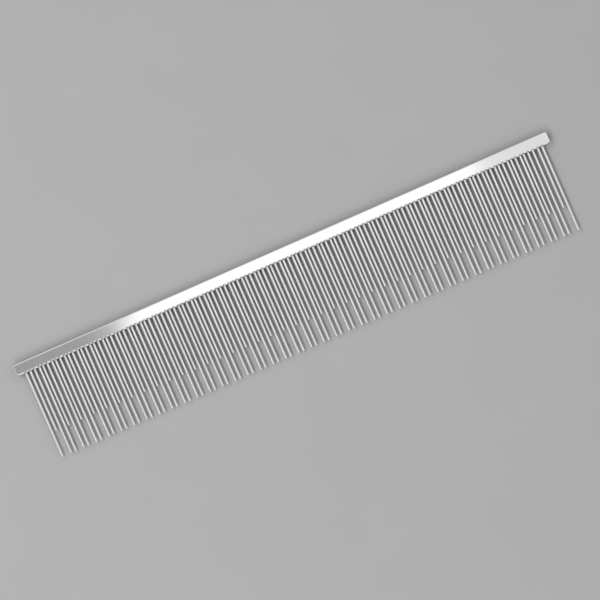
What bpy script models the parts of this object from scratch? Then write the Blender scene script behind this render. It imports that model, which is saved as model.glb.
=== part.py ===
"""Steel grooming comb: a solid bar spine with tapered steel pins set in drilled sockets.

Metres, +Z up. The comb lies on the broad face of its spine: +X runs along the spine, the pins
point along -Y and Z goes through the thickness. The origin is on the resting face, under the
middle of the whole comb.

The pins repeat as long, short, long. Each such trio is one solid, joined inside the spine by a
thin web that stands for the solder that locks the pins.
"""

import math

import bmesh
import bpy

MM = 0.001

# Spine: a flat bar.
SPINE_LENGTH = 250.0 * MM
SPINE_HEIGHT = 5.2 * MM  # in the comb's plane, from the pin sockets' mouths to the back edge
SPINE_THICKNESS = 4.0 * MM
MOUTH_CORNER = 1.0 * MM  # the corners of its outline, on the pins' side
BACK_CORNER = 0.55 * MM
CORNER_SEGMENTS = 3

# The bevels around both broad faces: (width seen square to the face, rounding of its own edges).
MOUTH_BEVEL = (0.8 * MM, 0.2 * MM)
BACK_BEVEL = (0.5 * MM, 0.12 * MM)
END_BEVEL = (0.2 * MM, 0.06 * MM)
BEVEL_TILT = math.radians(30)
BEVEL_ARC_POINTS = 2

# Pins: round wire, parallel inside the spine and tapered outside it, with a blunt rounded tip.
LONG_PIN = 39.4 * MM  # the length that shows
SHORT_PIN = 28.0 * MM
PIN_ROOT_RADIUS = 0.525 * MM
PIN_TIP_RADIUS = 0.41 * MM
PIN_BURIED = 4.1 * MM
PIN_SIDES = 8
TIP_ROUND = 0.25 * MM
TIP_SEGMENTS = 2

# Pattern along the spine.
TRIO_COUNT = 41
TRIO_PITCH = 5.94 * MM
SHORT_OFFSET = 1.66 * MM  # from the trio's first long pin
SECOND_LONG_OFFSET = 3.70 * MM
END_MARGIN = 3.8 * MM  # from the end of the spine to the outermost pin
FIRST_PIN_SPREAD = 0.35 * MM  # how far the outermost pins stand out of the regular pattern
LAST_PAIR_SPREAD = 0.70 * MM

# Sockets and the web that joins a trio inside them.
SOCKET_CLEARANCE = 0.06 * MM
SOCKET_DEPTH = 4.2 * MM
WEB_THICKNESS = 0.45 * MM
WEB_RECESS = 0.1 * MM  # from the mouths to the web
WEB_DEPTH = 3.8 * MM
CUT_PAST_MOUTH = 0.5 * MM

STEEL_GREY = (0.62, 0.62, 0.63, 1.0)
PIN_GREY = (0.70, 0.70, 0.71, 1.0)


def clear_scene():
    for obj in list(bpy.data.objects):
        bpy.data.objects.remove(obj)


def steel(name, colour, roughness):
    material = bpy.data.materials.new(name)
    material.use_nodes = True
    shader = material.node_tree.nodes["Principled BSDF"]
    shader.inputs["Base Color"].default_value = colour
    shader.inputs["Metallic"].default_value = 1.0
    shader.inputs["Roughness"].default_value = roughness
    return material


def pin_offsets(index):
    """Where the long, short and long pins of a trio stand, from its regular first place."""
    first, short, second = 0.0, SHORT_OFFSET, SECOND_LONG_OFFSET
    if index == 0:
        first -= FIRST_PIN_SPREAD
    if index == TRIO_COUNT - 1:
        short += LAST_PAIR_SPREAD
        second += LAST_PAIR_SPREAD
    return first, short, second


def trio_x(index):
    """The trio's regular first place along the spine."""
    return -SPINE_LENGTH / 2 + END_MARGIN + FIRST_PIN_SPREAD + index * TRIO_PITCH


def skin(bm, rings):
    """Closes a solid over rings of points, each with as many points as the next."""
    rings = [[bm.verts.new(point) for point in ring] for ring in rings]
    for lower, upper in zip(rings, rings[1:]):
        for i in range(len(lower)):
            j = (i + 1) % len(lower)
            bm.faces.new((lower[i], lower[j], upper[j], upper[i]))
    bm.faces.new(rings[0])
    bm.faces.new(rings[-1])


def lathe(profile, x):
    """A closed solid of revolution about the line parallel to Y at x. profile: (radius, y)."""
    turns = [2 * math.pi * i / PIN_SIDES for i in range(PIN_SIDES)]
    circle = [(math.cos(turn), math.sin(turn)) for turn in turns]
    bm = bmesh.new()
    skin(bm, [[(x + r * across, y, r * up) for across, up in circle] for r, y in profile])
    return finished_mesh(bm)


def box(low, high):
    bm = bmesh.new()
    bmesh.ops.create_cube(bm, size=1.0)
    for vert in bm.verts:
        vert.co = [lo if c < 0 else hi for c, lo, hi in zip(vert.co, low, high)]
    return finished_mesh(bm)


def finished_mesh(bm):
    bmesh.ops.recalc_face_normals(bm, faces=bm.faces[:])
    mesh = bpy.data.meshes.new("shape")
    bm.to_mesh(mesh)
    bm.free()
    return mesh


def union(meshes):
    """The meshes joined into one solid by exact Booleans."""
    whole, *others = [bpy.data.objects.new("operand", mesh) for mesh in meshes]
    for obj in (whole, *others):
        bpy.context.collection.objects.link(obj)
    for other in others:
        modifier = whole.modifiers.new("join", "BOOLEAN")
        modifier.operation = "UNION"
        modifier.object = other
    graph = bpy.context.evaluated_depsgraph_get()
    joined = bpy.data.meshes.new_from_object(whole.evaluated_get(graph))
    for obj in (whole, *others):
        bpy.data.objects.remove(obj)
    return joined


def pin_profile(length):
    """(radius, y) from the buried end to the tip; y = 0 is the socket's mouth."""
    profile = [(PIN_ROOT_RADIUS, PIN_BURIED), (PIN_ROOT_RADIUS, 0.0)]
    for step in range(TIP_SEGMENTS + 1):
        angle = math.pi / 2 * step / TIP_SEGMENTS
        radius = PIN_TIP_RADIUS - TIP_ROUND * (1 - math.cos(angle))
        profile.append((radius, TIP_ROUND * (1 - math.sin(angle)) - length))
    return profile


def trio_mesh(offsets):
    """Long, short and long pin, joined inside the spine by the web."""
    lengths = (LONG_PIN, SHORT_PIN, LONG_PIN)
    pins = [lathe(pin_profile(length), x) for length, x in zip(lengths, offsets)]
    half = WEB_THICKNESS / 2
    web = box((offsets[0], WEB_RECESS, -half), (offsets[-1], WEB_DEPTH, half))
    return union([*pins, web])


def socket_mesh(offsets):
    """What a trio's three sockets and the slot between them take out of the spine."""
    radius = PIN_ROOT_RADIUS + SOCKET_CLEARANCE
    drills = [lathe([(radius, SOCKET_DEPTH), (radius, -CUT_PAST_MOUTH)], x) for x in offsets]
    half = WEB_THICKNESS / 2 + SOCKET_CLEARANCE
    slot_depth = WEB_DEPTH + SOCKET_CLEARANCE
    slot = box((offsets[0], -CUT_PAST_MOUTH / 2, -half), (offsets[-1], slot_depth, half))
    return union([*drills, slot])


def place(name, mesh, frame, x=0.0):
    """An object in the pins' own frame: x along the spine from its middle."""
    obj = bpy.data.objects.new(name, mesh)
    bpy.context.collection.objects.link(obj)
    obj.parent = frame
    obj.location = (x, 0, 0)
    return obj


def shade(mesh, material, sharp_above):
    mesh.materials.clear()
    mesh.materials.append(material)
    mesh.shade_smooth()
    mesh.set_sharp_from_angle(angle=math.radians(sharp_above))


def add_trios(frame, material):
    meshes = {}
    for index in range(TRIO_COUNT):
        offsets = pin_offsets(index)
        if offsets not in meshes:
            meshes[offsets] = trio_mesh(offsets)
            shade(meshes[offsets], material, sharp_above=60)
        place(f"pin_trio_{index + 1:02d}", meshes[offsets], frame, trio_x(index))


def add_socket_cutter(frame):
    """All the sockets as one hidden mesh of separate bodies."""
    shapes = {}
    bm = bmesh.new()
    for index in range(TRIO_COUNT):
        offsets = pin_offsets(index)
        if offsets not in shapes:
            shapes[offsets] = socket_mesh(offsets)
        before = len(bm.verts)
        bm.from_mesh(shapes[offsets])
        bm.verts.ensure_lookup_table()
        bmesh.ops.translate(bm, verts=bm.verts[before:], vec=(trio_x(index), 0, 0))
    cutter = place("socket_cutter", finished_mesh(bm), frame)
    cutter.hide_render = True
    cutter.display_type = "WIRE"
    return cutter


def bevel_path(width, rounding):
    """(inset, drop) of points down a bevelled edge: a small arc, the flat bevel, a small arc."""
    flat = (width - rounding) / math.cos(BEVEL_TILT)
    path = []
    for first, last, along in ((0, BEVEL_TILT, 0), (BEVEL_TILT, math.pi / 2, flat)):
        for step in range(BEVEL_ARC_POINTS):
            angle = first + (last - first) * step / (BEVEL_ARC_POINTS - 1)
            out = rounding * math.sin(angle) + along * math.cos(BEVEL_TILT)
            drop = rounding * (1 - math.cos(angle)) + along * math.sin(BEVEL_TILT)
            path.append((width - out, drop))
    return path


def outline(end, back, mouth):
    """One ring of the bar's upper half. end, back and mouth: the ring's (inset, drop) there."""
    ring = []
    for corner in range(4):
        side, radius = (back, BACK_CORNER) if corner < 2 else (mouth, MOUTH_CORNER)
        centre_x = (SPINE_LENGTH / 2 - radius) * (1 if corner in (0, 3) else -1)
        centre_y = SPINE_HEIGHT - radius if corner < 2 else radius
        for step in range(CORNER_SEGMENTS + 1):
            turn = math.pi / 2 * (corner + step / CORNER_SEGMENTS)
            x = centre_x + (radius - end[0]) * math.cos(turn)
            y = centre_y + (radius - side[0]) * math.sin(turn)
            drop = end[1] * math.cos(turn) ** 2 + side[1] * math.sin(turn) ** 2
            ring.append((x, y, SPINE_THICKNESS / 2 - drop))
    return ring


def bar_mesh():
    """The plain bar, skinned from rings that go down from one broad face to the other."""
    paths = [bevel_path(*bevel) for bevel in (END_BEVEL, BACK_BEVEL, MOUTH_BEVEL)]
    upper = [outline(*sides) for sides in zip(*paths)]
    lower = [[(x, y, -z) for x, y, z in ring] for ring in reversed(upper)]
    bm = bmesh.new()
    skin(bm, upper + lower)
    return finished_mesh(bm)


def add_spine(frame, material):
    spine = place("spine", bar_mesh(), frame)
    drilling = spine.modifiers.new("drill_sockets", "BOOLEAN")
    drilling.operation = "DIFFERENCE"
    drilling.object = add_socket_cutter(frame)
    shade(spine.data, material, sharp_above=25)


def add_comb():
    frame = bpy.data.objects.new("comb_frame", None)
    bpy.context.collection.objects.link(frame)
    mouth_y = (SPINE_HEIGHT + LONG_PIN) / 2 - SPINE_HEIGHT
    frame.location = (0, mouth_y, SPINE_THICKNESS / 2)
    add_spine(frame, steel("spine_steel", STEEL_GREY, roughness=0.10))
    add_trios(frame, steel("pin_steel", PIN_GREY, roughness=0.34))


clear_scene()
add_comb()
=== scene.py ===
"""Looks for the steel grooming comb: one drilled spine bar and 123 separate tapered pins."""

import math
import random

import bmesh
import bpy
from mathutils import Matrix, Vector


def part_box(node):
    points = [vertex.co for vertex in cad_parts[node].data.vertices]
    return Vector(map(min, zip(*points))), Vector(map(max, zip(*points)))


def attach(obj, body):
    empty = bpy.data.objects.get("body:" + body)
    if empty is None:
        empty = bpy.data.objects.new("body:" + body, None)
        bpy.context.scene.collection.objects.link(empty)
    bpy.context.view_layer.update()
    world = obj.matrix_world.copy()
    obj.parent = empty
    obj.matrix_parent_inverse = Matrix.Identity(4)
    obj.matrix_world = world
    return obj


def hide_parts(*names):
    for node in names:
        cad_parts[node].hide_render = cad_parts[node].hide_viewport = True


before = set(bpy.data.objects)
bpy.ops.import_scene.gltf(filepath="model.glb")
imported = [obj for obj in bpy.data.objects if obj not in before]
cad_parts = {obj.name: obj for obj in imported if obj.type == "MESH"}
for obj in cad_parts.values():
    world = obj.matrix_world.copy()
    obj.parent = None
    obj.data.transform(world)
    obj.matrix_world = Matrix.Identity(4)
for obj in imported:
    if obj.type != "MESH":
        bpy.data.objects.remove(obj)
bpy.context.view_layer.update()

MM = 0.001

# Spine edges, as the CAD solid has them. A bevel: (width from above, rounding of its own edges).
MOUTH_BEVEL = (0.8 * MM, 0.2 * MM)
BACK_BEVEL = (0.5 * MM, 0.12 * MM)
END_BEVEL = (0.2 * MM, 0.06 * MM)
BEVEL_TILT = math.radians(30)
BEVEL_ARC_POINTS = 3
MOUTH_CORNER = 1.0 * MM
BACK_CORNER = 0.55 * MM
CORNER_SEGMENTS = 8

# Pins and their sockets.
ROOT_RADIUS = 0.525 * MM
TIP_RADIUS = 0.41 * MM
BURIED = 4.1 * MM
BURIED_CHAMFER = 0.1 * MM
SOCKET_RADIUS = 0.55 * MM
SOCKET_DEPTH = 4.2 * MM
DRILL_PAST_MOUTH = 0.5 * MM
# The notch in the spine's edge around each pin. Its wall slopes in from the bevel.
NOTCH_HALF_WIDTH = 0.5 * MM
NOTCH_RIM = 0.66 * MM  # how far it reaches in at its top
NOTCH_FOOT = 0.40 * MM  # and below the slope
NOTCH_SEGMENTS = 8
PIN_SIDES = 24  # of the sockets too
SHAFT_RINGS = 10
TIP_ROUND = 0.25 * MM
TIP_SEGMENTS = 5
TIP_COLLAR = 0.08 * MM  # a last short ring of shaft, so that the rounding doesn't bend its shading
TIP_WANDER = 0.05 * MM  # how far a tip stands out of true
PIN_GAP = 0.5 * MM  # points of one pin are never this far apart across the row
OUTSIDE = 1.0 * MM  # beyond this distance from the mouths, a trio is only its pins
PIN_SHARP_ABOVE = math.radians(40)
SPINE_SHARP_ABOVE = math.radians(32)
SEED = 7

# The view: straight down, the comb turned in the frame.
VIEW_ROLL = math.radians(23.72)
VIEW_WIDTH = 257.85 * MM
VIEW_AIM = Vector((-0.70, -1.54, 3.0)) * MM
LENS = 180.0
SENSOR = 36.0
CLIP = (0.05, 50.0)

SPINE_STEEL = (0.62, 0.62, 0.625)
PIN_STEEL = (0.675, 0.675, 0.68)

# The light tent's radiances: to the comb's left and right, ahead of it and behind it near the
# horizon, the same higher up, and straight up.
SIDE_WHITE = 1.2
LOW_GREY = 0.12
HIGH_WHITE = 1.2
ZENITH_GREY = 0.525
# Where one goes over into the next, as ranges of a direction's own Z, |Y| and Z.
LOW_TO_HIGH = (0.28, 0.50)
SIDE_TO_AHEAD = (0.30, 0.75)
HIGH_TO_ZENITH = (0.90, 0.97)
# The flat boxes over the spine: (name, left x, right x, radiance).
OVERHEAD = (("overhead_main", -0.111, 0.1345, 1.2), ("overhead_right", 0.1345, 0.23, 0.655))
OVERHEAD_HEIGHT = 0.6
OVERHEAD_DEPTH = 0.2
# The key is a strip as long as the pins' direction, so that the pins' shadows stay narrow.
KEY_PLACE = (-0.55, 0.0, 1.08)
KEY_SIZE = (0.3, 2.4)
KEY_RADIANCE = 8.5
FLOOR_GREY = 0.23
FLOOR_RADIUS = 8.0


# ---------------------------------------------------------------- meshes


def mesh_object(name, bm):
    mesh = bpy.data.meshes.new(name)
    bmesh.ops.recalc_face_normals(bm, faces=bm.faces[:])
    bm.to_mesh(mesh)
    bm.free()
    obj = bpy.data.objects.new(name, mesh)
    bpy.context.collection.objects.link(obj)
    return obj


def skin(bm, rings):
    """Closes a solid over rings of points, each with as many points as the next."""
    rings = [[bm.verts.new(point) for point in ring] for ring in rings]
    for lower, upper in zip(rings, rings[1:]):
        for i in range(len(lower)):
            j = (i + 1) % len(lower)
            bm.faces.new((lower[i], lower[j], upper[j], upper[i]))
    bm.faces.new(rings[0])
    bm.faces.new(rings[-1])


def add_turned(bm, profile, centre_line):
    """A closed solid turned about a line along Y. profile: (radius, y); centre_line(y): (x, z)."""
    turns = [2 * math.pi * i / PIN_SIDES for i in range(PIN_SIDES)]
    rings = []
    for radius, y in profile:
        x, z = centre_line(y)
        rings.append([(x + radius * math.cos(t), y, z + radius * math.sin(t)) for t in turns])
    skin(bm, rings)


def find_pins(node):
    """(x, tip y) of each pin of a trio, from the part of it outside the spine."""
    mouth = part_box("spine")[0].y
    points = sorted((v.co.x, v.co.y) for v in node.data.vertices if v.co.y < mouth - OUTSIDE)
    groups = [[points[0]]]
    for last, point in zip(points, points[1:]):
        if point[0] - last[0] > PIN_GAP:
            groups.append([])
        groups[-1].append(point)
    return [((g[0][0] + g[-1][0]) / 2, min(y for _, y in g)) for g in groups]


def pin_profile(mouth, tip):
    """(radius, y) from the buried end to the tip."""
    buried = mouth + BURIED
    profile = [(ROOT_RADIUS - BURIED_CHAMFER, buried), (ROOT_RADIUS, buried - BURIED_CHAMFER)]
    end = tip + TIP_ROUND + TIP_COLLAR
    for ring in range(SHAFT_RINGS + 1):
        share = ring / SHAFT_RINGS
        radius = ROOT_RADIUS + (TIP_RADIUS - ROOT_RADIUS) * share
        profile.append((radius, mouth + (end - mouth) * share))
    for step in range(TIP_SEGMENTS + 1):
        angle = math.pi / 2 * step / TIP_SEGMENTS
        radius = TIP_RADIUS - TIP_ROUND * (1 - math.cos(angle))
        profile.append((radius, tip + TIP_ROUND * (1 - math.sin(angle))))
    return profile


def make_pin(name, x, tip, chance):
    """A pin that bends slightly out of true from the spine to its tip."""
    spine_low, spine_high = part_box("spine")
    mouth, middle = spine_low.y, (spine_low.z + spine_high.z) / 2
    lean = [chance.uniform(-TIP_WANDER, TIP_WANDER) for _ in range(2)]

    def centre_line(y):
        share = max(0.0, (mouth - y) / (mouth - tip)) ** 2
        return x + lean[0] * share, middle + lean[1] * share

    bm = bmesh.new()
    add_turned(bm, pin_profile(mouth, tip), centre_line)
    pin = mesh_object(name, bm)
    pin.data.shade_smooth()
    pin.data.set_sharp_from_angle(angle=PIN_SHARP_ABOVE)
    return pin


def bevel_path(width, rounding):
    """(inset, drop) of points down a bevelled edge: a small arc, the flat bevel, a small arc."""
    flat = (width - rounding) / math.cos(BEVEL_TILT)
    path = []
    for first, last, along in ((0, BEVEL_TILT, 0), (BEVEL_TILT, math.pi / 2, flat)):
        for step in range(BEVEL_ARC_POINTS):
            angle = first + (last - first) * step / (BEVEL_ARC_POINTS - 1)
            out = rounding * math.sin(angle) + along * math.cos(BEVEL_TILT)
            drop = rounding * (1 - math.cos(angle)) + along * math.sin(BEVEL_TILT)
            path.append((width - out, drop))
    return path


def cut_back(path, rim, foot):
    """A bevel's path where a notch reaches in: down the bevel, the notch's slope and its wall."""
    cut = [path[0]]
    for (above, high), (inset, drop) in zip(path, path[1:]):
        if above <= rim:
            inset, drop = foot, high
        elif inset < rim:
            inset, drop = rim, high + (drop - high) * (above - rim) / (above - inset)
        cut.append((inset, drop))
    return cut


def notched_edges(pins, path):
    """The pins' side of every ring from left to right, with a round notch for each pin."""
    low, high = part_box("spine")
    columns = []
    for x, _ in pins:
        for step in range(NOTCH_SEGMENTS + 1):
            turn = math.pi * step / NOTCH_SEGMENTS
            along = x - NOTCH_HALF_WIDTH * math.cos(turn)
            column = cut_back(path, NOTCH_RIM * math.sin(turn), NOTCH_FOOT * math.sin(turn))
            columns.append([(along, low.y + inset, high.z - drop) for inset, drop in column])
    return zip(*columns)


def outline(edge, end, back, mouth):
    """One ring of the bar's upper half. edge: its points along the pins' side.

    end, back and mouth: the ring's (inset, drop) there.
    """
    low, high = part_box("spine")
    ring = []
    for corner in range(4):
        if corner == 3:
            ring += edge
        side, radius = (back, BACK_CORNER) if corner < 2 else (mouth, MOUTH_CORNER)
        centre_x = high.x - radius if corner in (0, 3) else low.x + radius
        centre_y = high.y - radius if corner < 2 else low.y + radius
        for step in range(CORNER_SEGMENTS + 1):
            turn = math.pi / 2 * (corner + step / CORNER_SEGMENTS)
            x = centre_x + (radius - end[0]) * math.cos(turn)
            y = centre_y + (radius - side[0]) * math.sin(turn)
            drop = end[1] * math.cos(turn) ** 2 + side[1] * math.sin(turn) ** 2
            ring.append((x, y, high.z - drop))
    return ring


def make_bar(pins):
    """The undrilled spine, skinned from rings that go down from one broad face to the other."""
    low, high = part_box("spine")
    paths = [bevel_path(*bevel) for bevel in (END_BEVEL, BACK_BEVEL, MOUTH_BEVEL)]
    upper = [outline(*sides) for sides in zip(notched_edges(pins, paths[-1]), *paths)]
    lower = [[(x, y, low.z + high.z - z) for x, y, z in ring] for ring in reversed(upper)]
    bm = bmesh.new()
    skin(bm, upper + lower)
    return mesh_object("spine_bar", bm)


def make_drills(pins):
    """One cylinder for each pin's socket."""
    low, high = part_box("spine")
    mouth, middle = low.y, (low.z + high.z) / 2
    profile = [(SOCKET_RADIUS, mouth + SOCKET_DEPTH), (SOCKET_RADIUS, mouth - DRILL_PAST_MOUTH)]
    bm = bmesh.new()
    for x, _ in pins:
        add_turned(bm, profile, lambda y, x=x: (x, middle))
    return mesh_object("socket_drills", bm)


def make_spine(pins):
    """The notched bar with its sockets drilled."""
    spine, drills = make_bar(pins), make_drills(pins)
    drilling = spine.modifiers.new("drill_sockets", "BOOLEAN")
    drilling.operation = "DIFFERENCE"
    drilling.object = drills
    graph = bpy.context.evaluated_depsgraph_get()
    mesh = bpy.data.meshes.new_from_object(spine.evaluated_get(graph))
    spine.modifiers.clear()
    spine.data = mesh
    spine.name = mesh.name = "drilled_spine"
    bpy.data.objects.remove(drills)
    mesh.shade_smooth()
    mesh.set_sharp_from_angle(angle=SPINE_SHARP_ABOVE)
    flats = spine.modifiers.new("flat_faces_stay_flat", "WEIGHTED_NORMAL")
    flats.keep_sharp = True
    flats.weight = 100  # the large flat faces decide
    return spine


# ------------------------------------------------------------- materials


class Nodes:
    """Builds a material's nodes one call at a time."""

    def __init__(self, name):
        self.material = bpy.data.materials.new(name)
        self.material.use_nodes = True
        self.tree = self.material.node_tree
        self.shader = self.tree.nodes["Principled BSDF"]
        self.place = self.add("ShaderNodeTexCoord").outputs["Object"]

    def add(self, kind, values=(), **settings):
        node = self.tree.nodes.new(kind)
        for key, value in settings.items():
            setattr(node, key, value)
        for key, value in dict(values).items():
            self.put(node.inputs[key], value)
        return node

    def put(self, socket, value):
        if isinstance(value, bpy.types.NodeSocket):
            self.tree.links.new(value, socket)
        else:
            socket.default_value = value

    def noise(self, stretch, detail=3.0, rough=0.5, shift=0.0, turn=0.0):
        """Noise in the piece's own space; stretch is how many features fit in a metre, by axis."""
        mapping = self.add(
            "ShaderNodeMapping",
            {
                "Vector": self.place,
                "Location": (shift, shift, shift),
                "Rotation": (0, 0, turn),
                "Scale": stretch,
            },
        )
        node = self.add(
            "ShaderNodeTexNoise",
            {
                "Vector": mapping.outputs[0],
                "Scale": 1.0,
                "Detail": detail,
                "Roughness": rough,
            },
        )
        return node.outputs["Fac"]

    def math(self, operation, *values):
        return self.add(
            "ShaderNodeMath", dict(enumerate(values)), operation=operation
        ).outputs[0]

    def span(self, value, low, high, to_low=0.0, to_high=1.0, smooth=False):
        node = self.add(
            "ShaderNodeMapRange",
            {
                "Value": value,
                "From Min": low,
                "From Max": high,
                "To Min": to_low,
                "To Max": to_high,
            },
            interpolation_type="SMOOTHSTEP" if smooth else "LINEAR",
        )
        return node.outputs[0]

    def tint(self, colour, share):
        """The colour, multiplied by share."""
        node = self.add("ShaderNodeVectorMath", {0: colour, "Scale": share}, operation="SCALE")
        return node.outputs[0]

    def bumps(self, layers):
        """layers: (height, metres it stands for), the broadest first."""
        normal = None
        for height, metres in layers:
            values = {"Height": height, "Distance": metres, "Strength": 1.0}
            if normal is not None:
                values["Normal"] = normal
            normal = self.add("ShaderNodeBump", values).outputs["Normal"]
        return normal


def spine_steel():
    """Polished bar: lengthwise polishing lines, a few stray scratches and faint finger haze."""
    n = Nodes("spine_polished_steel")
    lines = n.noise((45, 5200, 5200), detail=4.0, rough=0.65)
    broad_lines = n.noise((12, 900, 900), detail=2.0, shift=3.1)
    haze = n.noise((38, 70, 70), detail=3.0, shift=7.7)
    waves = n.noise((22, 60, 60), detail=1.0, shift=1.9)
    strays = [
        n.span(n.noise((260, 9000, 9000), 2.0, shift=5.0 + k, turn=turn), 0.70, 0.80, smooth=True)
        for k, turn in enumerate((0.5, -0.35))
    ]
    scratch = n.math("MAXIMUM", *strays)
    tone = n.span(lines, 0.3, 0.7, 0.95, 1.03)
    tone = n.math("MULTIPLY", tone, n.span(haze, 0.35, 0.7, 1.02, 0.96))
    n.put(n.shader.inputs["Base Color"], n.tint(SPINE_STEEL, tone))
    rough = n.span(lines, 0.25, 0.75, 0.06, 0.10)
    rough = n.math("ADD", rough, n.span(haze, 0.4, 0.75, 0.0, 0.03))
    rough = n.math("ADD", rough, n.math("MULTIPLY", scratch, 0.08))
    n.put(n.shader.inputs["Roughness"], rough)
    n.shader.inputs["Metallic"].default_value = 1.0
    layers = [
        (waves, 20e-6),
        (broad_lines, 1.2e-6),
        (lines, 0.9e-6),
        (scratch, -0.5e-6),
    ]
    n.put(n.shader.inputs["Normal"], n.bumps(layers))
    return n.material


def pin_steel():
    """Drawn, satin wire: fine lines along the pin, and a slightly different tone for each pin."""
    n = Nodes("pin_satin_steel")
    lines = n.noise((9000, 120, 9000), detail=3.0, rough=0.6)
    along = n.noise((350, 160, 350), detail=3.0, shift=4.3)
    by_pin = n.noise((410, 3, 410), detail=0.0, shift=9.1)
    tone = n.span(along, 0.3, 0.7, 0.97, 1.02)
    tone = n.math("MULTIPLY", tone, n.span(by_pin, 0.3, 0.7, 0.965, 1.03))
    n.put(n.shader.inputs["Base Color"], n.tint(PIN_STEEL, tone))
    rough = n.span(lines, 0.3, 0.7, 0.30, 0.38)
    rough = n.math("ADD", rough, n.span(along, 0.4, 0.75, 0.0, 0.06))
    n.put(n.shader.inputs["Roughness"], rough)
    n.shader.inputs["Metallic"].default_value = 1.0
    n.put(n.shader.inputs["Normal"], n.bumps([(along, 2.0e-6), (lines, 0.8e-6)]))
    return n.material


def floor_paint():
    n = Nodes("pale_floor")
    tone = n.span(n.noise((30, 30, 30), detail=4.0), 0.3, 0.7, 0.99, 1.01)
    n.put(n.shader.inputs["Base Color"], n.tint((FLOOR_GREY,) * 3, tone))
    n.shader.inputs["Roughness"].default_value = 0.85
    return n.material


# ----------------------------------------------------------------- stage


def make_floor():
    bm = bmesh.new()
    bmesh.ops.create_circle(bm, cap_ends=True, radius=FLOOR_RADIUS, segments=96)
    floor = mesh_object("floor", bm)
    floor.data.materials.append(floor_paint())


def make_camera():
    data = bpy.data.cameras.new("camera")
    data.lens, data.sensor_width = LENS, SENSOR
    data.clip_start, data.clip_end = CLIP
    camera = bpy.data.objects.new("camera", data)
    bpy.context.collection.objects.link(camera)
    camera.rotation_euler = (0, 0, -VIEW_ROLL)
    camera.location = VIEW_AIM + Vector((0, 0, VIEW_WIDTH * LENS / SENSOR))
    bpy.context.scene.camera = camera


def add_softbox(name, place, size, radiance):
    """A rectangular light of even radiance that shines straight down. size: along X, along Y."""
    data = bpy.data.lights.new(name, "AREA")
    data.shape = "RECTANGLE"
    data.size, data.size_y = size
    data.energy = radiance * math.pi * size[0] * size[1]
    light = bpy.data.objects.new(name, data)
    bpy.context.collection.objects.link(light)
    light.location = place
    light.visible_camera = False
    return light


def make_world():
    """A light tent: bright all round, but grey straight up and low down ahead and behind."""
    world = bpy.data.worlds.new("studio")
    world.use_nodes = True
    tree = world.node_tree
    nodes, links = tree.nodes, tree.links

    def smooth(value, low, high, to_low, to_high):
        node = nodes.new("ShaderNodeMapRange")
        node.interpolation_type = "SMOOTHSTEP"
        links.new(value, node.inputs["Value"])
        for key, number in zip(("From Min", "From Max"), (low, high)):
            node.inputs[key].default_value = number
        for key, number in zip(("To Min", "To Max"), (to_low, to_high)):
            if isinstance(number, bpy.types.NodeSocket):
                links.new(number, node.inputs[key])
            else:
                node.inputs[key].default_value = number
        return node.outputs[0]

    split = nodes.new("ShaderNodeSeparateXYZ")
    links.new(nodes.new("ShaderNodeTexCoord").outputs["Generated"], split.inputs[0])
    away = nodes.new("ShaderNodeMath")
    away.operation = "ABSOLUTE"
    links.new(split.outputs["Y"], away.inputs[0])
    sky = smooth(split.outputs["Z"], *LOW_TO_HIGH, LOW_GREY, HIGH_WHITE)
    sky = smooth(away.outputs[0], *SIDE_TO_AHEAD, SIDE_WHITE, sky)
    sky = smooth(split.outputs["Z"], *HIGH_TO_ZENITH, sky, ZENITH_GREY)
    links.new(sky, nodes["Background"].inputs["Color"])
    bpy.context.scene.world = world


def make_lights():
    """A key whose light comes down across the pins, and two flat boxes over the spine.

    The polished face shows where each flat box ends.
    """
    key = add_softbox("key", KEY_PLACE, KEY_SIZE, KEY_RADIANCE)
    key.rotation_euler.y = math.atan2(KEY_PLACE[0], KEY_PLACE[2])
    key.visible_glossy = False
    over_y = sum(corner.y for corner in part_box("spine")) / 2
    for name, left, right, radiance in OVERHEAD:
        place = ((left + right) / 2, over_y, OVERHEAD_HEIGHT)
        add_softbox(name, place, (right - left, OVERHEAD_DEPTH), radiance)


# -------------------------------------------------------------- assembly


def dress(piece, material, slot, *nodes):
    piece.data.materials.clear()
    piece.data.materials.append(material)
    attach(piece, "root")
    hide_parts(*nodes)


def make_comb():
    trios = sorted(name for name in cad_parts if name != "spine")
    pins = {name: find_pins(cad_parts[name]) for name in trios}
    everywhere = sorted(pin for name in trios for pin in pins[name])
    dress(make_spine(everywhere), spine_steel(), "spine_steel", "spine")
    steel = pin_steel()
    chance = random.Random(SEED)
    counts = {"long": 0, "short": 0}
    halfway = sum(tip for _, tip in everywhere[:2]) / 2
    for name in trios:
        for x, tip in pins[name]:
            kind = "long" if tip < halfway else "short"
            counts[kind] += 1
            pin = make_pin(f"{kind}_pin_{counts[kind]:02d}", x, tip, chance)
            dress(pin, steel, "pin_steel", name)
    print("pins", counts)


make_comb()
make_floor()
make_world()
make_lights()
make_camera()
bpy.context.scene.view_settings.view_transform = "Standard"
